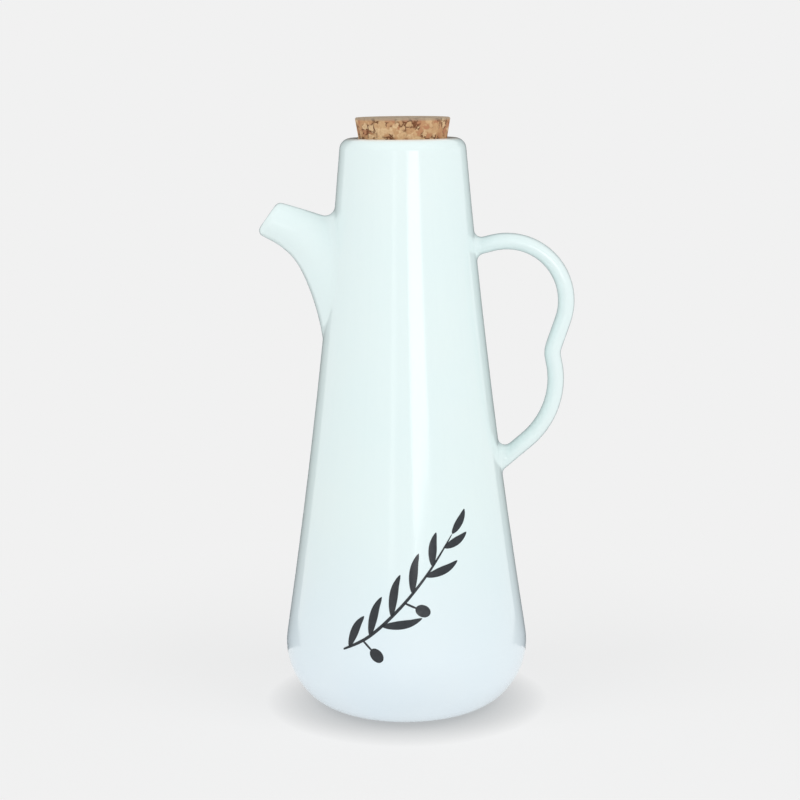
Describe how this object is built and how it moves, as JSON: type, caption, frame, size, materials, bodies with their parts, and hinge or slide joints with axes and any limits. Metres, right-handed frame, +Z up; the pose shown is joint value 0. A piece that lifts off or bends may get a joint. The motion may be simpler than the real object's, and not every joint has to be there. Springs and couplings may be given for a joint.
{
  "type": "oil container",
  "caption": "Tall white glazed ceramic oil jug that swells towards its foot, with a horn-shaped pouring spout, a waisted loop handle and a tapered cork stopper.",
  "frame": {"origin": "on the body's axis, in the plane that the foot ring stands on", "axes": "+Z up along the body's axis; the handle is towards +X and the spout towards -X; -Y is the front"},
  "size_m": [0.1253, 0.0984, 0.238],
  "materials": {
    "glaze": "glossy white glaze",
    "cork": "agglomerated cork, bare"
  },
  "bodies": {
    "vessel": {"jug": "glaze"},
    "stopper": {"cork_stopper": "cork"}
  },
  "joints": [
    {"name": "cork_pull", "type": "slide", "parent": "vessel", "child": "stopper", "axis": [0, 0, 1], "range_m": [0, 0.035]}
  ]
}
